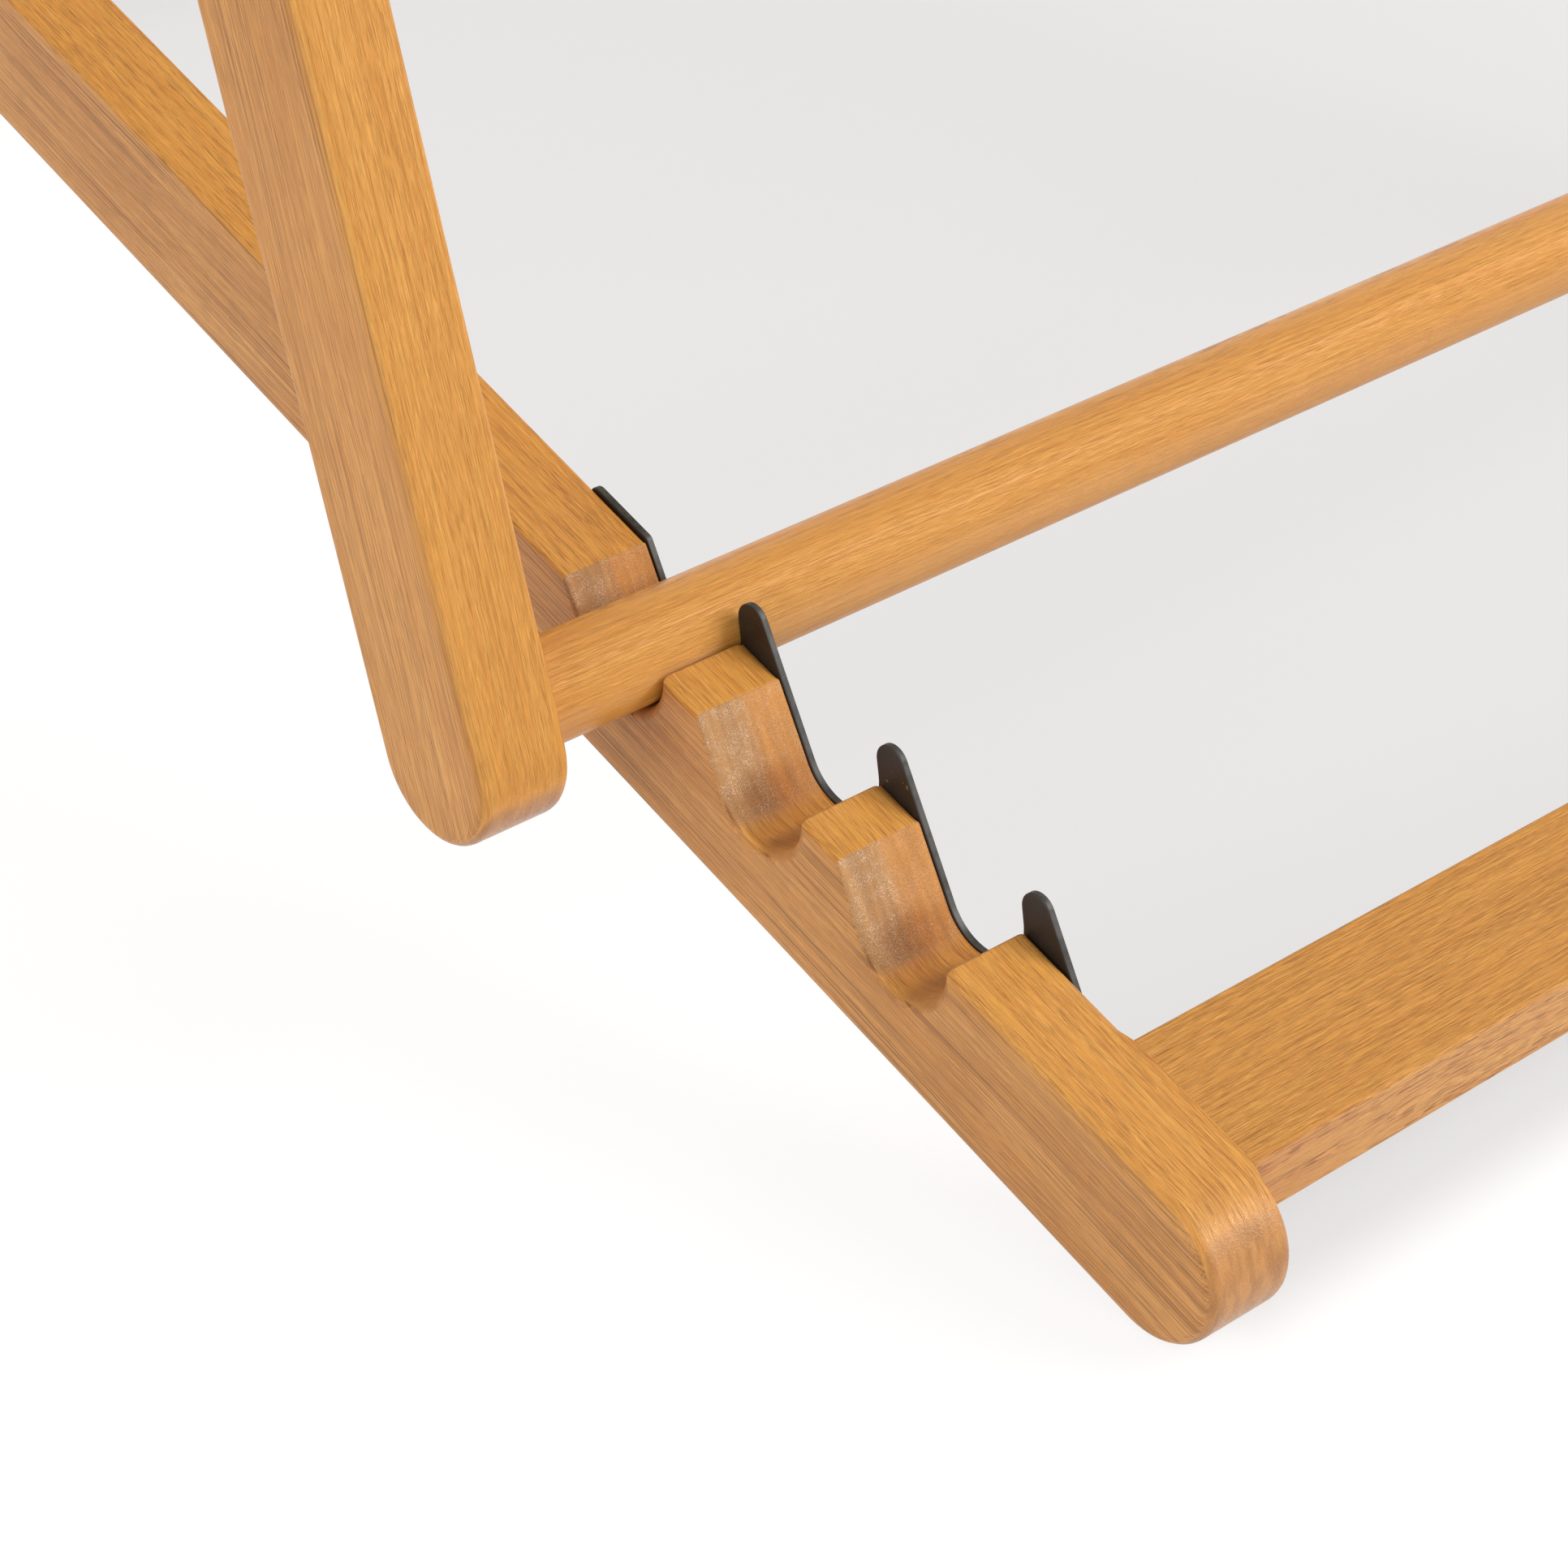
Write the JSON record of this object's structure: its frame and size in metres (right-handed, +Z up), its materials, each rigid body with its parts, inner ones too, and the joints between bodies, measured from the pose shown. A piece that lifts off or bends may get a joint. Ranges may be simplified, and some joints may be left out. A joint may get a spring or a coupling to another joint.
{
  "type": "folding sling chair",
  "caption": "Folding wooden sling chair: a notched seat frame hinged to a back frame, held upright by a prop frame whose round bar drops into the notches.",
  "frame": {"origin": "on the floor, midway between the front and rear ends and between the two sides", "axes": "+Z up, the sitter faces -Y, +X is the sitter's left"},
  "size_m": [0.696, 1.1306, 0.8959],
  "materials": {
    "oiled_wood": "oiled hardwood, satin",
    "black_plate": "black powder coat",
    "zinc_steel": "zinc plated",
    "canvas": "plain woven cotton"
  },
  "bodies": {
    "seat_frame": {"seat_rail_left": "oiled_wood", "seat_rail_right": "oiled_wood", "seat_rear_crossbar": "oiled_wood", "seat_front_bar": "oiled_wood", "notch_plate_left": "black_plate", "notch_plate_right": "black_plate", "notch_plate_screws": "zinc_steel", "main_pivot_bolts": "zinc_steel", "main_pivot_washers": "zinc_steel", "main_pivot_nuts": "zinc_steel"},
    "back_frame": {"back_rail_left": "oiled_wood", "back_rail_right": "oiled_wood", "back_top_bar": "oiled_wood", "back_foot_bar": "oiled_wood", "prop_pivot_bolts": "zinc_steel", "prop_pivot_washers": "zinc_steel", "prop_pivot_nuts": "zinc_steel", "sling": "canvas"},
    "prop_frame": {"prop_leg_left": "oiled_wood", "prop_leg_right": "oiled_wood", "prop_dowel": "oiled_wood"}
  },
  "joints": [
    {"name": "back_fold", "type": "hinge", "parent": "seat_frame", "child": "back_frame", "pos_m": [0, -0.12859, 0.24548], "axis": [1, 0, 0], "range_deg": [0, 102], "deforming": ["sling"]},
    {"name": "prop_fold", "type": "hinge", "parent": "back_frame", "child": "prop_frame", "pos_m": [0, 0.20404, 0.67123], "axis": [1, 0, 0], "range_deg": [-47.94, 0]}
  ],
  "couplings": [
    {"joint": "prop_fold", "follows": "back_fold", "ratio": -0.47}
  ]
}
